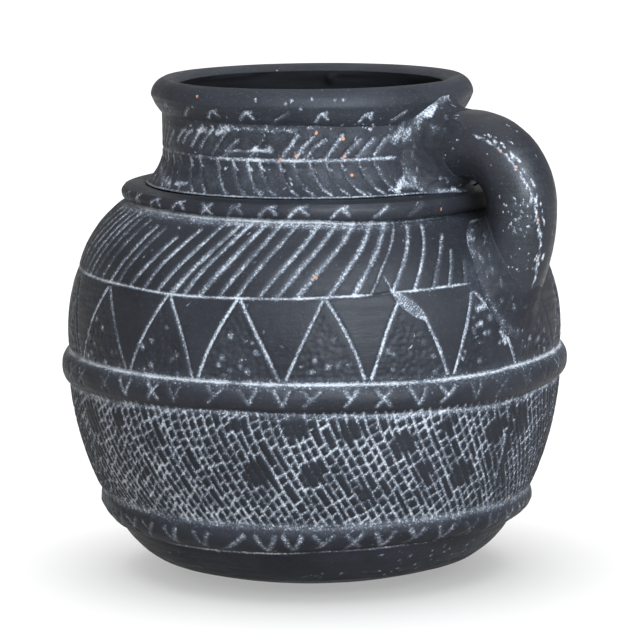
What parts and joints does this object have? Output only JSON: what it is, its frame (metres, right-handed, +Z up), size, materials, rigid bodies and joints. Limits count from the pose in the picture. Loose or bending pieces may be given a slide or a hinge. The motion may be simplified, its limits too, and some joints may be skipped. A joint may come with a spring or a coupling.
{
  "type": "clay pot",
  "caption": "Round black clay pot with a short wide neck, rolled rim, applied bands, incised patterns and one thick loop handle.",
  "frame": {"origin": "centre of the flat resting face, on the pot's turning axis", "axes": "+Z up along the pot's axis, +X towards the handle, +Y completes the right-handed frame"},
  "size_m": [0.2657, 0.2524, 0.246],
  "materials": {
    "smooth_clay": "rubbed satin black clay",
    "incised_clay": "satin black clay with incised lines that hold pale dust",
    "luting_clay": "matt smeared black clay"
  },
  "bodies": {
    "root": {"base": "smooth_clay", "foot_wall": "smooth_clay", "lower_band": "smooth_clay", "hatched_wall": "incised_clay", "belly_band": "incised_clay", "triangle_wall": "incised_clay", "shoulder_wall": "incised_clay", "collar_band": "incised_clay", "neck": "incised_clay", "rim": "incised_clay", "handle": "smooth_clay", "handle_upper_seat": "luting_clay", "handle_lower_seat": "luting_clay"}
  },
  "joints": []
}
